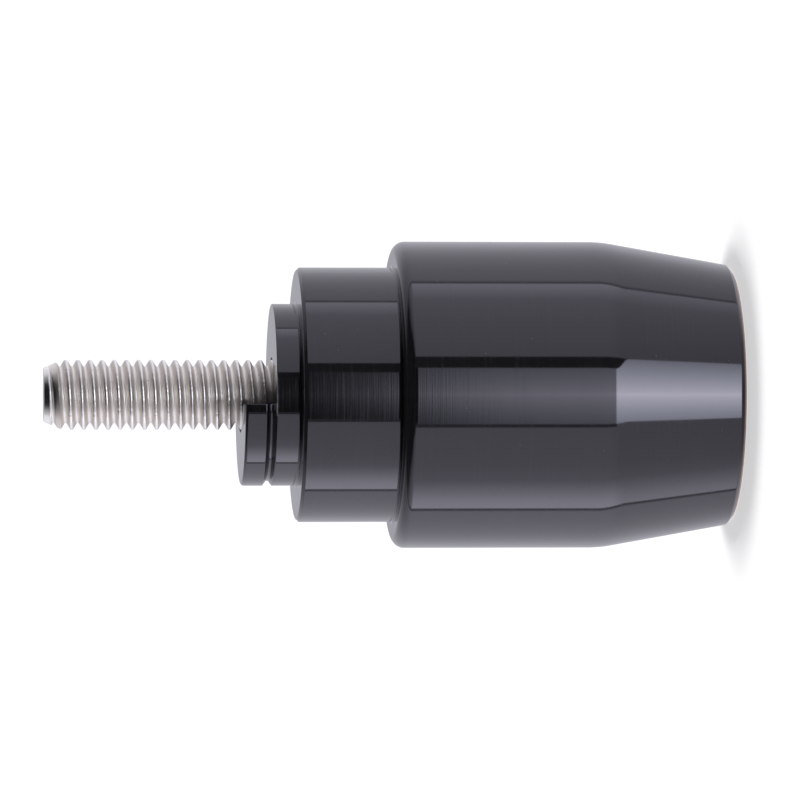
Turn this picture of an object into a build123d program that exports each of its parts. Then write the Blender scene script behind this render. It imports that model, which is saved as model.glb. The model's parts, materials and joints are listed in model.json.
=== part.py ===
from build123d import *
from math import radians, tan
import os

# Bar end weight: a turned body held by one socket head cap screw.
# It stands on its outer end: z = 0 is the outer end face and +Z points along the screw into the bar.
# All sizes are in millimetres.

# Weight body
body_diameter = 25.3
body_length = 28.1
taper_length = 10.9
taper_angle = 10.0
taper_blend_radius = 11.0
outer_rim_chamfer = 0.45
shoulder_radius = 1.0

# Collar that enters the open end of the grip
collar_diameter = 21.0
collar_length = 7.95
collar_edge_break = 0.25

# Locating boss, and the half-round key that stands on it
boss_diameter = 15.0
boss_length = 2.0
key_length = 2.55
key_flat_offset = 0.75
key_edge_break = 0.25
tool_nose_radius = 0.2

# V-groove turned round the key, against the boss face
groove_width = 0.8
groove_depth = 0.4
groove_floor_width = 0.2

# Socket head cap screw, M6 x 1, 50 long under the head
shank_diameter = 6.0
thread_crest_diameter = 5.8
screw_length = 50.0
thread_length = 24.0
tip_length = 1.6
tip_flat_diameter = 4.45
head_diameter = 10.0
head_height = 6.0
head_edge_chamfer = 0.4
socket_across_flats = 5.0
socket_depth = 3.0
socket_floor_cone = 0.7
socket_mouth_chamfer = 0.2

# Counterbored hole that the screw passes through
bore_clearance = 0.1
head_clearance = 0.5
counterbore_depth = 6.8
counterbore_mouth_chamfer = 0.3
bore_mouth_chamfer = 0.4

# Radii and heights that follow from the sizes above
body_radius = body_diameter / 2
collar_radius = collar_diameter / 2
boss_radius = boss_diameter / 2
shoulder_width = body_radius - collar_radius
shoulder_fillet_radius = min(shoulder_radius, shoulder_width / 2)
outer_end_radius = body_radius - taper_length * tan(radians(taper_angle))
collar_height = body_length + collar_length
boss_height = collar_height + boss_length
key_height = boss_height + key_length
bore_radius = shank_diameter / 2 + bore_clearance
counterbore_radius = head_diameter / 2 + head_clearance
head_seat_height = counterbore_depth
head_top_height = head_seat_height - head_height
thread_start_height = head_seat_height + screw_length - thread_length
tip_start_height = head_seat_height + screw_length - tip_length


def corner(section, radius, height):
    return section.vertices().sort_by_distance((radius, height))[0]


def ring(part, radius, height):
    circles = part.edges().filter_by(GeomType.CIRCLE)
    return circles.sort_by(lambda edge: abs(edge.radius - radius) + abs(edge.arc_center.Z - height))[0]


# Weight body: the section is turned, then the groove, the key's flat and the bore are cut
with BuildPart() as weight_body:
    with BuildSketch(Plane.XZ) as turned_section:
        with BuildLine():
            Polyline(
                (0, 0),
                (outer_end_radius, 0),
                (body_radius, taper_length),
                (body_radius, body_length),
                (collar_radius, body_length),
                (collar_radius, collar_height),
                (boss_radius, collar_height),
                (boss_radius, key_height),
                (0, key_height),
                close=True,
            )
        make_face()
        chamfer(corner(turned_section, outer_end_radius, 0), outer_rim_chamfer)
        fillet(corner(turned_section, body_radius, taper_length), taper_blend_radius)
        fillet(corner(turned_section, body_radius, body_length), shoulder_fillet_radius)
        fillet(corner(turned_section, collar_radius, body_length), tool_nose_radius)
        chamfer(corner(turned_section, collar_radius, collar_height), collar_edge_break)
        fillet(corner(turned_section, boss_radius, collar_height), tool_nose_radius)
        chamfer(corner(turned_section, boss_radius, key_height), key_edge_break)
    revolve(axis=Axis.Z)

    with BuildSketch(Plane.XZ):
        groove_floor_start = (groove_width - groove_floor_width) / 2
        with Locations((boss_radius, boss_height)):
            Polygon(
                (0, 0),
                (0, groove_width),
                (-groove_depth, groove_width - groove_floor_start),
                (-groove_depth, groove_floor_start),
                align=None,
            )
    revolve(axis=Axis.Z, mode=Mode.SUBTRACT)

    # The half of the key above its flat is milled away, down to the boss face
    with BuildSketch(Plane.XY.offset(boss_height)):
        with Locations((-key_flat_offset, 0)):
            Rectangle(boss_diameter, boss_diameter, align=(Align.MIN, Align.CENTER))
    extrude(amount=key_length, mode=Mode.SUBTRACT)

    with Locations(-Plane.XY):
        CounterBoreHole(bore_radius, counterbore_radius, counterbore_depth)
    chamfer(ring(weight_body, counterbore_radius, 0), counterbore_mouth_chamfer)
    chamfer(ring(weight_body, bore_radius, counterbore_depth), bore_mouth_chamfer)

# Cap screw: the head's bearing face lies on the floor of the counterbore
with BuildPart() as cap_screw:
    with BuildSketch(Plane.XY.offset(head_top_height)):
        Circle(head_diameter / 2)
    extrude(amount=head_height)
    chamfer(ring(cap_screw, head_diameter / 2, head_top_height), head_edge_chamfer)

    with BuildSketch(Plane.XY.offset(head_seat_height)):
        Circle(shank_diameter / 2)
    extrude(amount=screw_length - thread_length)

    with BuildSketch(Plane.XY.offset(thread_start_height)):
        Circle(thread_crest_diameter / 2)
    extrude(amount=thread_length - tip_length)
    with Locations((0, 0, tip_start_height)):
        Cone(
            thread_crest_diameter / 2,
            tip_flat_diameter / 2,
            tip_length,
            align=(Align.CENTER, Align.CENTER, Align.MIN),
        )

    with BuildSketch(Plane.XY.offset(head_top_height)):
        RegularPolygon(socket_across_flats / 2, side_count=6, major_radius=False)
    extrude(amount=socket_depth, mode=Mode.SUBTRACT)
    with Locations((0, 0, head_top_height + socket_depth)):
        Cone(
            socket_across_flats / 2,
            0,
            socket_floor_cone,
            align=(Align.CENTER, Align.CENTER, Align.MIN),
            mode=Mode.SUBTRACT,
        )
    socket_mouth = cap_screw.faces().sort_by(Axis.Z)[0].inner_wires()[0].edges()
    chamfer(socket_mouth, socket_mouth_chamfer)

weight_body.part.label = "weight_body"
cap_screw.part.label = "cap_screw"

os.makedirs("parts", exist_ok=True)
export_step(weight_body.part, "parts/weight_body.step")
export_step(cap_screw.part, "parts/cap_screw.step")
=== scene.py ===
import json

import bmesh
import bpy
import numpy as np
from mathutils import Matrix, Vector

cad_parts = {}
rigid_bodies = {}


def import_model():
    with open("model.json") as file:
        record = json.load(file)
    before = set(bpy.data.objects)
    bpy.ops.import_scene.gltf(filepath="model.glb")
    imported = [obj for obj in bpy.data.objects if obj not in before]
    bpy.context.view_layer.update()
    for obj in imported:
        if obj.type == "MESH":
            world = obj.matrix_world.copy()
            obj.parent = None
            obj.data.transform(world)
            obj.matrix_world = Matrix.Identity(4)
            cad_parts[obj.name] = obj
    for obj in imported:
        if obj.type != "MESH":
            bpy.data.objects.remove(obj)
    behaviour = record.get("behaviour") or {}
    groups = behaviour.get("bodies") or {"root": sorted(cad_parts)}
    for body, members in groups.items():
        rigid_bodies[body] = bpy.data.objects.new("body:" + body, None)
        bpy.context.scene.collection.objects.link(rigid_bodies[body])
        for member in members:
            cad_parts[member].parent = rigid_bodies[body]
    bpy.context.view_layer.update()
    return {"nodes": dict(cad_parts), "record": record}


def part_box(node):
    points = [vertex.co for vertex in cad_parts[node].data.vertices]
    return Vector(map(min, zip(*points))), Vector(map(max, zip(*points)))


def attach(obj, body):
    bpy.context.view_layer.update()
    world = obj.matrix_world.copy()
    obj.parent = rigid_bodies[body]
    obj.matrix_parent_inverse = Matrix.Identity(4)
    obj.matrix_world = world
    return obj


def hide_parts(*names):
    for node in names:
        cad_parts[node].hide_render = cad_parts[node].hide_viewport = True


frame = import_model()
mm = 0.001  # shapes are worked out in millimetres and stored in metres
weldGap = 0.0001  # points closer than this, in millimetres, become one
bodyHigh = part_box("weight_body")[1]
screwLow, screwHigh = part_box("cap_screw")
mounts = {mount["name"]: mount for mount in frame["record"]["mounts"]}
print("frame loaded with", sorted(frame["nodes"]))


# Joins grids of points into one closed mesh: each grid is rows x columns x 3, neighbours in it
# make a quad, and points that coincide along the grids' borders are welded.
def weldGrids(name, grids):
    faces = []
    start = 0
    for grid in grids:
        rows, columns, _ = grid.shape
        index = start + np.arange(rows * columns).reshape(rows, columns)
        corners = [index[:-1, :-1], index[:-1, 1:], index[1:, 1:], index[1:, :-1]]
        faces.append(np.stack(corners, -1).reshape(-1, 4))
        start += rows * columns
    points = np.concatenate([grid.reshape(-1, 3) for grid in grids]) * mm
    mesh = bpy.data.meshes.new(name)
    mesh.from_pydata(points.tolist(), [], np.concatenate(faces).tolist())
    skin = bmesh.new()
    skin.from_mesh(mesh)
    bmesh.ops.remove_doubles(skin, verts=skin.verts, dist=weldGap * mm)
    bmesh.ops.recalc_face_normals(skin, faces=skin.faces)
    skin.to_mesh(mesh)
    skin.free()
    mesh.polygons.foreach_set("use_smooth", np.ones(len(mesh.polygons), bool))
    piece = bpy.data.objects.new(name, mesh)
    bpy.context.scene.collection.objects.link(piece)
    return piece


# A turned section from its corners (radius, height, rounding). Each corner gives way to an arc
# tangent to both runs: its centre lies on the corner's bisector, rounding / sin(half angle) away,
# and its points are centre + rounding * (cos t * towards corner + sin t * across).
def turnedSection(corners, arcSteps):
    corners = np.array(corners, float)
    points, rounding = corners[:, :2], corners[1:-1, 2:]
    back = points[:-2] - points[1:-1]
    ahead = points[2:] - points[1:-1]
    back /= np.linalg.norm(back, axis=1, keepdims=True)
    ahead /= np.linalg.norm(ahead, axis=1, keepdims=True)
    half = np.arccos(np.clip((back * ahead).sum(1, keepdims=True), -1, 1)) / 2
    inward = (back + ahead) / np.linalg.norm(back + ahead, axis=1, keepdims=True)
    across = (ahead - back) / np.linalg.norm(ahead - back, axis=1, keepdims=True)
    centre = points[1:-1] + inward * rounding / np.sin(half)
    turn = ((np.pi / 2 - half) * np.linspace(-1, 1, arcSteps + 1))[:, :, None]
    arcs = np.sin(turn) * across[:, None] - np.cos(turn) * inward[:, None]
    arcs = centre[:, None] + rounding[:, None] * arcs
    section = np.concatenate([points[:1], arcs.reshape(-1, 2), points[-1:]])
    apart = np.linalg.norm(np.diff(section, axis=0), axis=1) > weldGap
    return section[np.concatenate([[True], apart])]


# Adds a point just inside each end of every run over four insets long, end +- inset * run direction, so
# that smooth shading bends only next to a corner and the rest of the run stays true.
def withSupports(section, inset):
    run = np.diff(section, axis=0)
    length = np.linalg.norm(run, axis=1, keepdims=True)
    step = inset * run / length
    points = np.stack([section[:-1], section[:-1] + step, section[1:] - step], 1)
    longRun = length > 4 * inset
    keep = np.concatenate([np.ones_like(longRun), longRun, longRun], 1)
    return np.concatenate([points[keep], section[-1:]])


# Points at the given radii, angles and heights about the Z axis, as one grid.
def aroundAxis(radius, angle, height):
    radius, angle, height = np.broadcast_arrays(radius, angle, height)
    return np.stack([radius * np.cos(angle), radius * np.sin(angle), height], -1)


weightBody = {
    "radius": bodyHigh.x / mm,
    "collarRadius": mounts["grip_collar"]["dims"]["r_mm"],
    "bossRadius": mounts["locating_boss"]["dims"]["r_mm"],
    "keyTop": bodyHigh.z / mm,
    "bossFace": 38.05,
    "collarFace": mounts["bar_face"]["pos_m"][2] / mm,
    "shoulderFace": 28.1,
    "keyFlat": mounts["key_flat"]["pos_m"][0] / mm,
    "taperLength": 10.9,
    "taperAngle": 10.0,
    "taperBlend": 11.0,
    "rimChamfer": 0.45,
    "shoulderRounding": 1.0,
    "collarEdge": 0.25,
    "toolNose": 0.2,
    "grooveWidth": 0.8,
    "grooveDepth": 0.4,
    "grooveFloor": 0.2,
    "keyEdge": 0.25,
    "counterboreRadius": 5.5,
    "counterboreDepth": 6.8,
    "counterboreMouth": 0.3,
    "boreRadius": 3.1,
    "boreMouth": 0.4,
    "edgeRounding": 0.045,
    "edgeSegments": 3,
    "edgeAngle": 30.0,
    "supportInset": 0.085,
    "openSteps": 150,
    "openInset": 0.0055,
    "keySteps": 138,
    "keyInset": 0.006,
    "sideSteps": 12,
    "sideInset": 0.02,
    "arcSteps": 14,
}


# Even steps from 0 to 1, with one more close to each end.
def supportedSteps(steps, inset):
    even = np.linspace(0, 1, steps + 1)
    return np.concatenate([[0, inset], even[1:-1], [1 - inset, 1]])


# Angles of one ring, split where the key's flat crosses it: the open side, then the key's side.
def ringAngles(radius):
    w = weightBody
    cross = np.arccos(w["keyFlat"] / radius)
    openSide = cross * (2 * supportedSteps(w["openSteps"], w["openInset"]) - 1)
    keySide = cross + (2 * np.pi - 2 * cross) * supportedSteps(w["keySteps"], w["keyInset"])
    return openSide, keySide


# The body is one section turned about Z, from the boss rim down the outside and back up the bore.
# The key is a half ring: outer arc, flat, bore arc and flat at each height, with the groove as a
# dip in its outer radius. Ruled strips between bore arc and outer arc close the two top faces.
def makeWeightBody():
    w = weightBody
    slope = np.radians(w["taperAngle"])
    endRadius = w["radius"] - w["taperLength"] * np.tan(slope)
    section = turnedSection([
        (w["bossRadius"], w["bossFace"], 0),
        (w["bossRadius"], w["collarFace"], w["toolNose"]),
        (w["collarRadius"] - w["collarEdge"], w["collarFace"], 0),
        (w["collarRadius"], w["collarFace"] - w["collarEdge"], 0),
        (w["collarRadius"], w["shoulderFace"], w["toolNose"]),
        (w["radius"], w["shoulderFace"], w["shoulderRounding"]),
        (w["radius"], w["taperLength"], w["taperBlend"]),
        (endRadius + w["rimChamfer"] * np.sin(slope), w["rimChamfer"] * np.cos(slope), 0),
        (endRadius - w["rimChamfer"], 0, 0),
        (w["counterboreRadius"] + w["counterboreMouth"], 0, 0),
        (w["counterboreRadius"], w["counterboreMouth"], 0),
        (w["counterboreRadius"], w["counterboreDepth"], 0),
        (w["boreRadius"] + w["boreMouth"], w["counterboreDepth"], 0),
        (w["boreRadius"], w["counterboreDepth"] + w["boreMouth"], 0),
        (w["boreRadius"], w["bossFace"], 0),
    ], w["arcSteps"])
    section = withSupports(section, w["supportInset"])
    radius, height = section[:, :1], section[:, 1:]
    bossOpen, bossKey = ringAngles(w["bossRadius"])
    boreOpen, boreKey = ringAngles(w["boreRadius"])
    outside = np.concatenate([bossOpen, bossKey[1:]])
    inside = np.concatenate([boreOpen, boreKey[1:]])
    counterboreMiddle = (w["counterboreRadius"] + w["boreRadius"]) / 2
    turned = aroundAxis(radius, np.where(radius > counterboreMiddle, outside, inside), height)

    flank = (w["grooveWidth"] - w["grooveFloor"]) / 2
    keySection = turnedSection([
        (w["bossRadius"], w["bossFace"], 0),
        (w["bossRadius"] - w["grooveDepth"], w["bossFace"] + flank, 0),
        (w["bossRadius"] - w["grooveDepth"], w["bossFace"] + flank + w["grooveFloor"], 0),
        (w["bossRadius"], w["bossFace"] + w["grooveWidth"], 0),
        (w["bossRadius"], w["keyTop"], w["keyEdge"]),
        (w["bossRadius"] - w["keyEdge"], w["keyTop"], 0),
    ], w["arcSteps"])
    keySection = withSupports(keySection, w["supportInset"])
    keyRadius, keyHeight = keySection[:, :1], keySection[:, 1:]
    cross = np.arccos(w["keyFlat"] / keyRadius)
    share = supportedSteps(w["keySteps"], w["keyInset"])
    outerArc = aroundAxis(keyRadius, cross + (2 * np.pi - 2 * cross) * share, keyHeight)
    boreArc = aroundAxis(w["boreRadius"], boreKey + 0 * keyHeight, keyHeight)
    sideShare = supportedSteps(w["sideSteps"], w["sideInset"])
    across = sideShare[None, :, None]
    firstFlat = boreArc[:, :1] + (outerArc[:, :1] - boreArc[:, :1]) * across
    lastFlat = outerArc[:, -1:] + (boreArc[:, -1:] - outerArc[:, -1:]) * across
    keyWall = np.concatenate([outerArc, lastFlat[:, 1:], boreArc[:, -2::-1], firstFlat[:, 1:]], 1)
    across = sideShare[:, None, None]
    keyFace = boreArc[-1] + (outerArc[-1] - boreArc[-1]) * across
    bossInner = aroundAxis(w["boreRadius"], boreOpen, w["bossFace"])
    bossOuter = aroundAxis(w["bossRadius"], bossOpen, w["bossFace"])
    bossFace = bossInner + (bossOuter - bossInner) * across

    piece = weldGrids("turned_weight_body", [turned, keyWall, keyFace, bossFace])
    breakEdges = piece.modifiers.new("breakEdges", "BEVEL")
    breakEdges.width = w["edgeRounding"] * mm
    breakEdges.segments = w["edgeSegments"]
    breakEdges.limit_method = "ANGLE"
    breakEdges.angle_limit = np.radians(w["edgeAngle"])
    breakEdges.use_clamp_overlap = False
    return piece


capScrew = {
    "headTop": screwLow.z / mm,
    "headRadius": screwHigh.x / mm,
    "headEdge": 0.4,
    "bearingFace": 6.8,
    "socketApothem": 2.5,
    "socketFloor": 3.0,
    "socketCone": 0.7,
    "socketMouth": 0.2,
    "shankRadius": 3.0,
    "threadStart": 32.8,
    "tip": screwHigh.z / mm,
    "tipRadius": 2.225,
    "tipSlope": 0.43,
    "crestRadius": mounts["screw_thread"]["dims"]["r_mm"],
    "pitch": 1.0,
    "threadDepth": 0.575,
    "flankAngle": 30.0,
    "crestShare": 0.19,
    "cornerShare": 0.12,
    "crestTear": 0.045,
    "tearFrom": 0.7,
    "phase": 0.306,
    "stepsRound": 180,
    "stepsAcross": 20,
    "sharpAngle": 35.0,
    "seed": 6,
}


# Radius of the thread over one pitch, share 0 to 1 with the crest at 0.5: straight flanks that ease into
# flat crest and root, (sqrt(x^2 + w^2) - sqrt((x-1)^2 + w^2) + 1) / 2. Tears take the top off the crest.
def threadRadius(share, tear):
    s = capScrew
    flankShare = s["threadDepth"] * np.tan(np.radians(s["flankAngle"])) / s["pitch"]
    x = (s["crestShare"] / 2 + flankShare - np.abs(share - 0.5)) / flankShare
    soft = s["cornerShare"]
    rise = (np.sqrt(x**2 + soft**2) - np.sqrt((x - 1) ** 2 + soft**2) + 1) / 2
    crest = np.clip((x - s["tearFrom"]) / (1 - s["tearFrom"]), 0, 1)
    return s["crestRadius"] - s["threadDepth"] * (1 - rise) - tear * crest


# The head and shank are rings stacked along Z, hexagonal in the socket: radius = apothem / cos of
# the angle from the nearest flat. The thread is a strip one pitch tall that climbs one pitch each
# turn, cut off at the thread's start and at the tip, with a slim cone over the tip.
def makeCapScrew():
    s = capScrew
    angle = np.linspace(0, 2 * np.pi, s["stepsRound"] + 1)
    circle = np.ones_like(angle)
    sixth = np.pi / 3
    hexagon = 1 / np.cos((angle + sixth / 2) % sixth - sixth / 2)
    floor = s["headTop"] + s["socketFloor"]
    mouth = s["socketApothem"] + s["socketMouth"]
    rings = [
        (0 * circle, floor + s["socketCone"]),
        (s["socketApothem"] * circle, floor),
        (s["socketApothem"] * hexagon, floor),
        (s["socketApothem"] * hexagon, s["headTop"] + s["socketMouth"]),
        (mouth * hexagon, s["headTop"]),
        ((s["headRadius"] - s["headEdge"]) * circle, s["headTop"]),
        (s["headRadius"] * circle, s["headTop"] + s["headEdge"]),
        (s["headRadius"] * circle, s["bearingFace"]),
        (s["shankRadius"] * circle, s["bearingFace"]),
        (s["shankRadius"] * circle, s["threadStart"]),
    ]
    head = np.concatenate([aroundAxis(ring, angle, level)[None] for ring, level in rings])

    turns = int(np.ceil((s["tip"] - s["threadStart"]) / s["pitch"])) + 1
    step = np.arange(-s["stepsRound"], turns * s["stepsRound"] + 1)[:, None]
    base = s["threadStart"] + s["pitch"] * (step / s["stepsRound"] - s["phase"])
    low = np.clip(base, s["threadStart"], s["tip"])
    high = np.clip(base + s["pitch"], s["threadStart"], s["tip"])
    height = low + (high - low) * np.linspace(0, 1, s["stepsAcross"] + 1)
    share = ((height - base) / s["pitch"]) % 1
    tear = s["crestTear"] * np.random.default_rng(s["seed"]).random(step.shape) ** 2
    tear = tear * np.clip((height - s["threadStart"]) / s["pitch"], 0, 1)  # none where the thread starts
    radius = np.minimum(threadRadius(share, tear), s["tipRadius"] + s["tipSlope"] * (s["tip"] - height))
    thread = aroundAxis(radius, 2 * np.pi * step / s["stepsRound"], height)

    startShare = (s["phase"] - angle / (2 * np.pi)) % 1
    startRing = aroundAxis(threadRadius(startShare, 0), angle, s["threadStart"])
    shoulder = np.stack([head[-1], startRing])
    tipRings = np.array([[s["tipRadius"]], [0]])
    tipFace = aroundAxis(tipRings, angle, s["tip"])
    piece = weldGrids("threaded_cap_screw", [head, shoulder, thread, tipFace])
    piece.data.set_sharp_from_angle(angle=np.radians(s["sharpAngle"]))
    return piece


# Adds a node: settings are its properties, inputs are sockets to link or values to set.
def place(tree, kind, inputs=None, **settings):
    node = tree.nodes.new(kind)
    for name, value in settings.items():
        setattr(node, name, value)
    for key, value in (inputs or {}).items():
        if isinstance(value, bpy.types.NodeSocket):
            tree.links.new(value, node.inputs[key])
        else:
            node.inputs[key].default_value = value
    return node


def calc(tree, operation, *terms):
    return place(tree, "ShaderNodeMath", dict(enumerate(terms)), operation=operation).outputs[0]


# Eases from one value to another while the factor goes from start to end.
def ease(tree, factor, start, end, low=0.0, high=1.0):
    inputs = {"Value": factor, "From Min": start, "From Max": end, "To Min": low, "To Max": high}
    return place(tree, "ShaderNodeMapRange", inputs, interpolation_type="SMOOTHSTEP").outputs[0]


def newGroup(name, inputs, outputs):
    tree = bpy.data.node_groups.new(name, "ShaderNodeTree")
    for socket, kind in inputs.items():
        tree.interface.new_socket(socket, in_out="INPUT", socket_type="NodeSocket" + kind)
    for socket in outputs:
        tree.interface.new_socket(socket, in_out="OUTPUT", socket_type="NodeSocketFloat")
    return tree, place(tree, "NodeGroupInput").outputs, place(tree, "NodeGroupOutput").inputs


# The part of a position that lies across the Z axis, its length, which is the radius, and the height.
def aboutAxis(tree, position):
    split = place(tree, "ShaderNodeSeparateXYZ", {0: position}).outputs
    flat = place(tree, "ShaderNodeCombineXYZ", {"X": split["X"], "Y": split["Y"]}).outputs[0]
    radius = place(tree, "ShaderNodeVectorMath", {0: flat}, operation="LENGTH").outputs["Value"]
    return flat, radius, split["Z"]


toolLines = {"slant": 0.7, "detail": 1.5, "roughness": 0.6, "streaks": (0.52, 0.72)}


# Fine lines left by the turning tool: noise that changes fast along the section, height + slant *
# radius, and slowly round the axis, so each streak runs part of the way round.
def turningMarksGroup():
    tree, enter, leave = newGroup(
        "turningMarks", {"Position": "Vector", "Spacing": "Float", "Run": "Float"}, ["Height", "Streaks"])
    flat, radius, height = aboutAxis(tree, enter["Position"])
    along = calc(tree, "MULTIPLY_ADD", radius, toolLines["slant"], height)
    around = place(tree, "ShaderNodeVectorMath", {0: flat}, operation="NORMALIZE").outputs[0]
    around = place(
        tree, "ShaderNodeVectorMath", {0: around, "Scale": enter["Run"]}, operation="SCALE").outputs[0]
    line = place(tree, "ShaderNodeCombineXYZ", {"Z": calc(tree, "DIVIDE", along, enter["Spacing"])})
    spot = place(tree, "ShaderNodeVectorMath", {0: around, 1: line.outputs[0]}, operation="ADD").outputs[0]
    grain = {"Detail": toolLines["detail"], "Roughness": toolLines["roughness"]}
    lines = place(tree, "ShaderNodeTexNoise", {"Vector": spot, "Scale": 1.0, **grain}).outputs[0]
    tree.links.new(lines, leave["Height"])
    tree.links.new(ease(tree, lines, *toolLines["streaks"]), leave["Streaks"])
    return tree


# Sparse specks of dust: the heart of some cells of a cell pattern.
def dustSpecksGroup():
    tree, enter, leave = newGroup(
        "dustSpecks", {"Position": "Vector", "Spacing": "Float", "Size": "Float", "Share": "Float"}, ["Mask"])
    scale = calc(tree, "DIVIDE", 1.0, enter["Spacing"])
    cells = place(tree, "ShaderNodeTexVoronoi", {"Vector": enter["Position"], "Scale": scale})
    pick = place(tree, "ShaderNodeSeparateColor", {0: cells.outputs["Color"]}).outputs[0]
    chosen = calc(tree, "LESS_THAN", pick, enter["Share"])
    heart = calc(tree, "LESS_THAN", cells.outputs["Distance"], enter["Size"])
    tree.links.new(calc(tree, "MULTIPLY", chosen, heart), leave["Mask"])
    return tree


# The Mix node's sockets go by number, because colours and values share their names.
def mixColour(tree, factor, first, second):
    node = place(tree, "ShaderNodeMix", {0: factor, 6: first, 7: second}, data_type="RGBA")
    return node.outputs[2]


def mixValue(tree, factor, first, second):
    return place(tree, "ShaderNodeMix", {0: factor, 2: first, 3: second}).outputs[0]


def useGroup(tree, group, position, values):
    node = place(tree, "ShaderNodeGroup", node_tree=group)
    tree.links.new(position, node.inputs["Position"])
    for name, value in values.items():
        node.inputs[name].default_value = value
    return node.outputs


turningMarks = turningMarksGroup()
dustSpecks = dustSpecksGroup()
print("node groups built:", turningMarks.name, dustSpecks.name)

anodised = {
    "dye": (0.011, 0.0105, 0.012, 1),
    "palerDye": (0.020, 0.018, 0.020, 1),
    "bareRim": (0.72, 0.54, 0.44, 1),
    "bareEdge": (0.86, 0.86, 0.88, 1),
    "dust": (0.24, 0.24, 0.25, 1),
    "ior": 1.77,
    "tint": (0.94, 0.90, 1.0, 1),
    "roughness": 0.05,
    "streakRoughness": 0.10,
    "dustRoughness": 0.8,
    "bareRoughness": 0.45,
    "marks": {"Spacing": 0.10 * mm, "Run": 1.7},
    "markDepth": 0.00065 * mm,
    "specks": {"Spacing": 1.3 * mm, "Size": 0.036, "Share": 0.9},
    "rimHeight": (0.28 * mm, 0.07 * mm),
    "rimRadius": (10.15 * mm, 10.25 * mm),
    "bossEdge": (0.075 * mm, 0.04 * mm),
    "bossEdgeRun": (1.9 * mm, 1.2 * mm),
}


# Black dyed oxide over turned metal: the dye covers all but the outer rim, where bare metal shows. A short
# stretch of the boss's front edge, at the front and the back, is painted as pale metal, a painted highlight
# along that edge.
def blackAnodised():
    a = anodised
    material = bpy.data.materials.new("blackAnodised")
    material.use_nodes = True
    tree = material.node_tree
    shader = tree.nodes["Principled BSDF"]
    position = place(tree, "ShaderNodeTexCoord").outputs["Object"]
    marks = useGroup(tree, turningMarks, position, a["marks"])
    specks = useGroup(tree, dustSpecks, position, a["specks"])["Mask"]
    flat, radius, height = aboutAxis(tree, position)
    rim = calc(tree, "MULTIPLY", ease(tree, height, *a["rimHeight"]), ease(tree, radius, *a["rimRadius"]))
    colour = mixColour(tree, marks["Streaks"], a["dye"], a["palerDye"])
    colour = mixColour(tree, rim, colour, a["bareRim"])
    # Painted highlight: pale metal on a short stretch of the boss's front edge, front and back only.
    inside = calc(tree, "SUBTRACT", weightBody["bossRadius"] * mm, radius)
    fromFace = calc(tree, "ABSOLUTE", calc(tree, "SUBTRACT", weightBody["bossFace"] * mm, height))
    edgeGlint = calc(tree, "MULTIPLY", ease(tree, inside, *a["bossEdge"]), ease(tree, fromFace, *a["bossEdge"]))
    sideways = calc(tree, "ABSOLUTE", place(tree, "ShaderNodeSeparateXYZ", {0: flat}).outputs["X"])
    edgeGlint = calc(tree, "MULTIPLY", edgeGlint, ease(tree, sideways, *a["bossEdgeRun"]))
    colour = mixColour(tree, edgeGlint, colour, a["bareEdge"])
    bareRimAndEdgeGlint = calc(tree, "MAXIMUM", rim, edgeGlint)
    colour = mixColour(tree, specks, colour, a["dust"])
    rough = ease(tree, marks["Streaks"], 0.0, 1.0, a["roughness"], a["streakRoughness"])
    rough = mixValue(tree, bareRimAndEdgeGlint, rough, a["bareRoughness"])
    rough = mixValue(tree, specks, rough, a["dustRoughness"])
    bump = place(tree, "ShaderNodeBump", {"Height": marks["Height"], "Distance": a["markDepth"]})
    tree.links.new(colour, shader.inputs["Base Color"])
    tree.links.new(rough, shader.inputs["Roughness"])
    tree.links.new(bareRimAndEdgeGlint, shader.inputs["Metallic"])
    tree.links.new(bump.outputs[0], shader.inputs["Normal"])
    shader.inputs["IOR"].default_value = a["ior"]
    shader.inputs["Specular Tint"].default_value = a["tint"]
    return material


stainless = {
    "steel": (0.80, 0.745, 0.69, 1),
    "rubbed": (0.96, 0.935, 0.905, 1),
    "darker": (0.45, 0.42, 0.39, 1),
    "roughness": 0.50,
    "streakRoughness": 0.58,
    "crestRoughness": 0.36,
    "rootRoughness": 0.50,
    "tipRoughness": 0.24,
    "crest": (2.78 * mm, 2.86 * mm),
    "root": (2.47 * mm, 2.40 * mm),
    "tip": (-0.06 * mm, -0.02 * mm),
    "tipEnd": (1.3 * mm, 0.6 * mm),
    "stretch": 0.35,
    "grainTurn": 0.25,
    "marks": {"Spacing": 0.11 * mm, "Run": 9.0},
    "markDepth": 0.0010 * mm,
    "specks": {"Spacing": 0.5 * mm, "Size": 0.10, "Share": 0.35},
}
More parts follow.
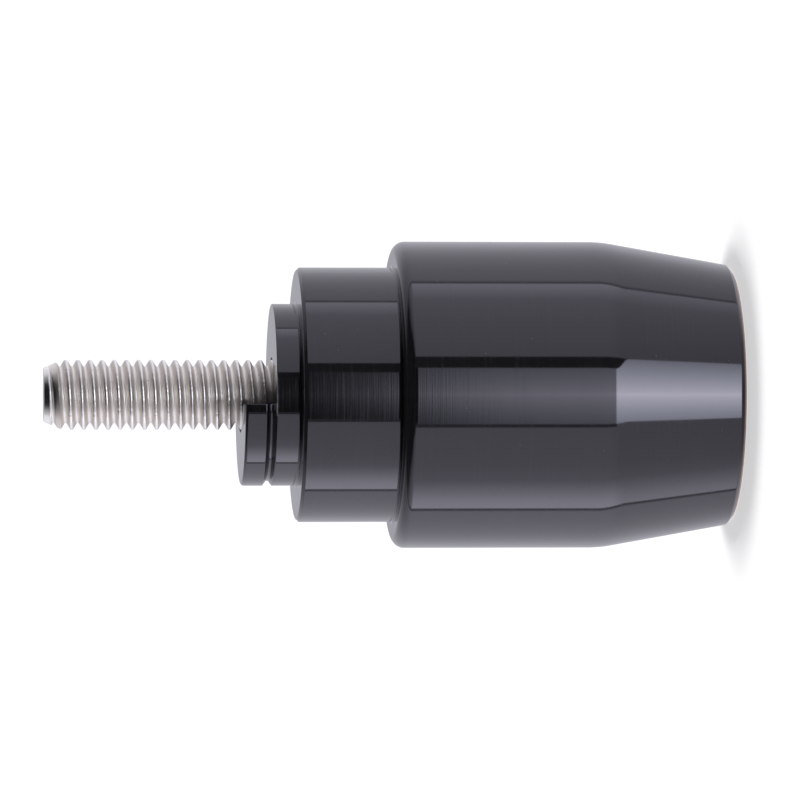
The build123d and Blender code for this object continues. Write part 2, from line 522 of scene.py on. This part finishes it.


# Rolled stainless steel: grain runs round the screw, so highlights stretch along the section. Crests are
# rubbed smooth and worn paler; the roots are painted paler too, a painted highlight along each root. The cone
# is brightest at its end.
def stainlessSteel():
    s = stainless
    material = bpy.data.materials.new("stainlessSteel")
    material.use_nodes = True
    tree = material.node_tree
    shader = tree.nodes["Principled BSDF"]
    position = place(tree, "ShaderNodeTexCoord").outputs["Object"]
    marks = useGroup(tree, turningMarks, position, s["marks"])
    pits = useGroup(tree, dustSpecks, position, s["specks"])["Mask"]
    _, radius, height = aboutAxis(tree, position)
    crest = ease(tree, radius, *s["crest"])
    root = ease(tree, radius, *s["root"])
    cone = calc(tree, "MULTIPLY_ADD", height, capScrew["tipSlope"], radius)
    cone = calc(tree, "SUBTRACT", cone, (capScrew["tipRadius"] + capScrew["tipSlope"] * capScrew["tip"]) * mm)
    fromEnd = calc(tree, "SUBTRACT", capScrew["tip"] * mm, height)
    tip = calc(tree, "MULTIPLY", ease(tree, cone, *s["tip"]), ease(tree, fromEnd, *s["tipEnd"]))
    # Paler crests are worn metal; the paler roots are a painted highlight.
    colour = mixColour(tree, calc(tree, "MAXIMUM", crest, root), s["steel"], s["rubbed"])
    colour = mixColour(tree, pits, colour, s["darker"])
    rough = ease(tree, marks["Streaks"], 0.0, 1.0, s["roughness"], s["streakRoughness"])
    rough = mixValue(tree, crest, rough, s["crestRoughness"])
    rough = mixValue(tree, root, rough, s["rootRoughness"])
    rough = mixValue(tree, tip, rough, s["tipRoughness"])
    bump = place(tree, "ShaderNodeBump", {"Height": marks["Height"], "Distance": s["markDepth"]})
    grain = place(tree, "ShaderNodeTangent", direction_type="RADIAL", axis="Z").outputs[0]
    tree.links.new(colour, shader.inputs["Base Color"])
    tree.links.new(rough, shader.inputs["Roughness"])
    tree.links.new(bump.outputs[0], shader.inputs["Normal"])
    tree.links.new(grain, shader.inputs["Tangent"])
    shader.inputs["Metallic"].default_value = 1.0
    shader.inputs["Anisotropic"].default_value = s["stretch"]
    shader.inputs["Anisotropic Rotation"].default_value = s["grainTurn"]
    return material


# Light tent, as brightness by direction. Azimuth is measured from the camera, positive towards +X.
# White cards stand left and right of the camera's slot, a white table lies behind the object.
tent = {
    "white": (0.955, 0.955, 1.05, 1),
    "cool": (0.896, 0.972, 1.09, 1),
    "cardStops": [
        (-180, 0.56), (-150, 0.93), (-97.4, 1.13), (-96.9, 0.28), (-94.9, 0.28), (-94.4, 1.22), (-55, 0.79),
        (25, 0.62), (60, 0.78), (92, 0.96), (92.5, 0.34), (94, 0.34), (94.5, 0.86), (150, 0.96), (180, 0.56),
    ],
    "stripStops": [
        (-180, 0.0), (-94.9, 0.0), (-94.4, 1.0), (-86, 0.9), (-68, 0.0), (76, 0.0), (92, 0.52), (92.5, 0.0),
        (180, 0.0),
    ],
    "stripTop": (-1.0, 8.0),
    "stripLow": (-26.0, -12.0, 0.45),
    "topStops": [
        (-180, 85), (-105, 64), (-94, 46), (-65, 43), (-45, 32), (-35, 26), (-27, 11), (30, 13), (46, 30),
        (60, 43), (91, 45), (94, 70), (180, 85),
    ],
    "topPower": 1.5,
    "levelScale": 5.0,
    "topScale": 90.0,
    "lowDimming": 0.87,
    "lowElevation": (-24.0, -9.0),
    "dark": 0.012,
    "backAzimuth": (-93.0, 93.0),
    "ground": (-65.0, -35.0),
    "groundLevel": (0.35, 0.62),
    "slot": (-22.0, 20.0),
    "slotHalf": 21.0,
    "slotLean": -0.008,
    "slotStops": [
        (-90, 2.0), (-6.6, 1.88), (-5.4, 1.46), (-5.16, 1.05), (-4.9, 0.42), (-4.5, 0.2), (-3.6, 0.02),
        (90, 0.012),
    ],
    "upperGap": (20.0, 28.5),
    "upperGapLevel": 0.06,
    "lowerGap": (-24.5, -22.0),
    "lowerGapLevel": 0.17,
    "lamp": 5.7,
    "lampElevation": (-31.0, -16.6),
    "lampCorner": (-27.2, -17.0),
    "lampAzimuth": (-21.3, 28.5),
    "edgeFall": 0.56,
    "edgePower": 0.75,
    "fallLimit": 1.25,
    "softness": 0.5,
    "under": 2.1,
    "underElevation": (-58.0, -44.0),
}


# 1 for rays that come straight from the camera or through something clear.
def seenDirectly(tree):
    path = place(tree, "ShaderNodeLightPath").outputs
    return calc(tree, "MAXIMUM", path["Is Camera Ray"], path["Is Transmission Ray"])


# A ramp over an angle in degrees, from low to high, with (angle, level) stops.
def angleRamp(tree, angle, low, high, stops, scale):
    factor = calc(tree, "DIVIDE", calc(tree, "SUBTRACT", angle, low), high - low)
    ramp = place(tree, "ShaderNodeValToRGB", {0: factor})
    elements = ramp.color_ramp.elements
    for stop, _ in stops[1:-1]:
        elements.new((stop - low) / (high - low))
    for element, (_, level) in zip(elements, stops):
        element.color = (level / scale, level / scale, level / scale, 1)
    return calc(tree, "MULTIPLY", ramp.outputs[0], scale)


# 1 inside the two angles and 0 outside, with soft edges.
def angleWindow(tree, angle, limits):
    soft = tent["softness"] / 2
    rising = ease(tree, calc(tree, "SUBTRACT", angle, limits[0]), -soft, soft)
    falling = ease(tree, calc(tree, "SUBTRACT", limits[1], angle), -soft, soft)
    return calc(tree, "MULTIPLY", rising, falling)


# Brightness = card or table by azimuth, dimmer low down, falling to dark at a top elevation that rises
# from the slot to the back, plus the lit foot of the cards' far edges, times the ground's darkening.
def cardLevel(tree, azimuth, elevation):
    t = tent
    level = angleRamp(tree, azimuth, -180, 180, t["cardStops"], t["levelScale"])
    level = calc(tree, "MULTIPLY", level, ease(tree, elevation, *t["lowElevation"], t["lowDimming"], 1.0))
    top = angleRamp(tree, azimuth, -180, 180, t["topStops"], t["topScale"])
    height = calc(tree, "DIVIDE", calc(tree, "MAXIMUM", elevation, 0.0), top)
    fade = calc(tree, "SUBTRACT", 1.0, calc(tree, "POWER", height, t["topPower"]))
    level = calc(tree, "MULTIPLY", level, calc(tree, "MAXIMUM", fade, t["dark"]))
    strip = angleRamp(tree, azimuth, -180, 180, t["stripStops"], t["levelScale"])
    strip = calc(tree, "MULTIPLY", strip, ease(tree, elevation, *t["stripTop"], 1.0, 0.0))
    strip = calc(tree, "MULTIPLY", strip, ease(tree, elevation, *t["stripLow"], 1.0))
    inFront = angleWindow(tree, azimuth, t["backAzimuth"])
    ground = ease(tree, elevation, *t["ground"], mixValue(tree, inFront, *t["groundLevel"]), 1.0)
    return calc(tree, "MULTIPLY", calc(tree, "ADD", level, strip), ground)


# Sets the camera's slot into the cards: the slot by elevation, with a leaning top, the gaps beside it, the
# lamp below it and the lamp's glow on the ground. Slot and lamp fall off from their middle by edgeFall *
# (azimuth / half width)^edgePower. Gives the new level and how cool the light is.
def slotAndLamp(tree, azimuth, elevation, level):
    t = tent
    across = calc(tree, "DIVIDE", calc(tree, "ABSOLUTE", azimuth), t["slotHalf"])
    fall = calc(tree, "MINIMUM", calc(tree, "POWER", across, t["edgePower"]), t["fallLimit"])
    middle = calc(tree, "MULTIPLY_ADD", fall, -t["edgeFall"], 1.0)
    leaning = calc(tree, "MULTIPLY_ADD", azimuth, t["slotLean"], elevation)
    slot = angleRamp(tree, leaning, -90, 90, t["slotStops"], t["levelScale"])
    slot = calc(tree, "MULTIPLY", slot, middle)
    aboveLamp = ease(tree, elevation, t["lampCorner"][0] - t["softness"], t["lampCorner"][0])
    inSlot = calc(tree, "MULTIPLY", angleWindow(tree, azimuth, t["slot"]), aboveLamp)
    level = mixValue(tree, inSlot, level, slot)
    inGap = calc(tree, "MULTIPLY", angleWindow(tree, azimuth, t["upperGap"]), aboveLamp)
    level = mixValue(tree, inGap, level, calc(tree, "MINIMUM", level, t["upperGapLevel"]))
    aboveCorner = ease(tree, elevation, t["lampCorner"][1] - t["softness"], t["lampCorner"][1])
    inGap = calc(tree, "MULTIPLY", angleWindow(tree, azimuth, t["lowerGap"]), aboveCorner)
    level = mixValue(tree, inGap, level, calc(tree, "MINIMUM", level, t["lowerGapLevel"]))

    sides = zip(t["lampAzimuth"], t["slot"])
    lampSides = [ease(tree, elevation, *t["lampCorner"], low, high) for low, high in sides]
    atLamp = angleWindow(tree, elevation, t["lampElevation"])
    atLamp = calc(tree, "MULTIPLY", atLamp, angleWindow(tree, azimuth, lampSides))
    level = mixValue(tree, atLamp, level, calc(tree, "MULTIPLY", middle, t["lamp"]))
    lampFoot = t["lampElevation"][0]
    belowLamp = ease(tree, elevation, lampFoot - t["softness"], lampFoot, 1.0, 0.0)
    under = calc(tree, "MULTIPLY", belowLamp, ease(tree, elevation, *t["underElevation"]))
    under = calc(tree, "MULTIPLY", under, angleWindow(tree, azimuth, t["lampAzimuth"]))
    level = mixValue(tree, under, level, t["under"])
    return level, calc(tree, "MULTIPLY", calc(tree, "MAXIMUM", inSlot, atLamp), fall)


# The tent is the world. Reflections show the tent, whose cards are the body's bright panels, and only
# what the camera sees directly is plain white.
def lightTent():
    world = bpy.data.worlds.new("lightTent")
    bpy.context.scene.world = world
    world.use_nodes = True
    tree = world.node_tree
    background = tree.nodes["Background"]
    direction = place(tree, "ShaderNodeTexCoord").outputs["Generated"]
    split = place(tree, "ShaderNodeSeparateXYZ", {0: direction}).outputs
    forward = calc(tree, "MULTIPLY", split["Y"], -1.0)
    azimuth = calc(tree, "DEGREES", calc(tree, "ARCTAN2", split["X"], forward))
    elevation = calc(tree, "DEGREES", calc(tree, "ARCSINE", split["Z"]))
    level = cardLevel(tree, azimuth, elevation)
    level, cool = slotAndLamp(tree, azimuth, elevation, level)
    tint = mixColour(tree, cool, tent["white"], tent["cool"])
    light = place(tree, "ShaderNodeVectorMath", {0: tint, "Scale": level}, operation="SCALE")
    shown = mixColour(tree, seenDirectly(tree), light.outputs[0], (1, 1, 1, 1))
    tree.links.new(shown, background.inputs["Color"])
    background.inputs["Strength"].default_value = 1.0


floorDisc = {
    "radius": 6000.0,
    "rings": (0.0, 0.1, 1.0),
    "steps": 96,
    "colour": (0.6, 0.6, 0.6, 1),
    "roughness": 0.9,
    "lift": 0.54,
}


# A pale round floor at height 0: rings of points about Z. It brightens to white where it is seen directly.
def paleFloor():
    f = floorDisc
    angle = np.linspace(0, 2 * np.pi, f["steps"] + 1)
    rings = aroundAxis(np.array(f["rings"])[:, None] * f["radius"], angle, 0.0)
    piece = weldGrids("pale_floor", [rings])
    material = bpy.data.materials.new("paleFloor")
    material.use_nodes = True
    tree = material.node_tree
    shader = tree.nodes["Principled BSDF"]
    shader.inputs["Base Color"].default_value = f["colour"]
    shader.inputs["Roughness"].default_value = f["roughness"]
    shader.inputs["Emission Color"].default_value = (1, 1, 1, 1)
    tree.links.new(calc(tree, "MULTIPLY", seenDirectly(tree), f["lift"]), shader.inputs["Emission Strength"])
    piece.data.materials.append(material)
    piece.visible_glossy = False


overheadSun = {"strength": 2.0, "angle": 11.0, "from": (0.015, 0.2, 1.0)}


# A soft sun above and behind the object, so that its shadow falls on the floor towards the camera. It
# leaves no highlight on the metal, which shows the tent alone.
def floorSun():
    s = overheadSun
    lamp = bpy.data.lights.new("overheadSun", "SUN")
    lamp.energy = s["strength"]
    lamp.angle = np.radians(s["angle"])
    sun = bpy.data.objects.new("overheadSun", lamp)
    bpy.context.scene.collection.objects.link(sun)
    sun.rotation_euler = Vector(s["from"]).to_track_quat("Z", "Y").to_euler()
    sun.visible_glossy = False


photoCamera = {
    "distance": 480.0,
    "tilt": 5.0,
    "aim": (-0.43, 0.0, 27.4),
    "pixelsPerMm": 12.105,
    "imagePixels": 800,
    "sensor": 36.0,
    "clip": (0.01, 10.0),
}


# The camera looks along +Y and slightly down, rolled so that +Z points left in the picture.
def photoView():
    c = photoCamera
    tilt = np.radians(c["tilt"])
    look = Vector((0, np.cos(tilt), -np.sin(tilt)))
    right = Vector((0, -np.sin(tilt), -np.cos(tilt)))
    up = Vector((1, 0, 0))
    lens = bpy.data.cameras.new("photoCamera")
    lens.sensor_width = c["sensor"]
    lens.lens = c["pixelsPerMm"] * c["distance"] / c["imagePixels"] * c["sensor"]
    lens.clip_start, lens.clip_end = c["clip"]
    camera = bpy.data.objects.new("photoCamera", lens)
    bpy.context.scene.collection.objects.link(camera)
    turn = Matrix((right, up, -look)).transposed().to_4x4()
    spot = (Vector(c["aim"]) - look * c["distance"]) * mm
    camera.matrix_world = Matrix.Translation(spot) @ turn
    bpy.context.scene.camera = camera


body = makeWeightBody()
body.data.materials.append(blackAnodised())
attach(body, "root")
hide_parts("weight_body")
print("weight body:", len(body.data.polygons), "faces")

screw = makeCapScrew()
screw.data.materials.append(stainlessSteel())
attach(screw, "root")
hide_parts("cap_screw")
print("cap screw:", len(screw.data.polygons), "faces")

lightTent()
paleFloor()
floorSun()
photoView()
bpy.context.scene.view_settings.view_transform = "Standard"
print("light, floor and camera set")
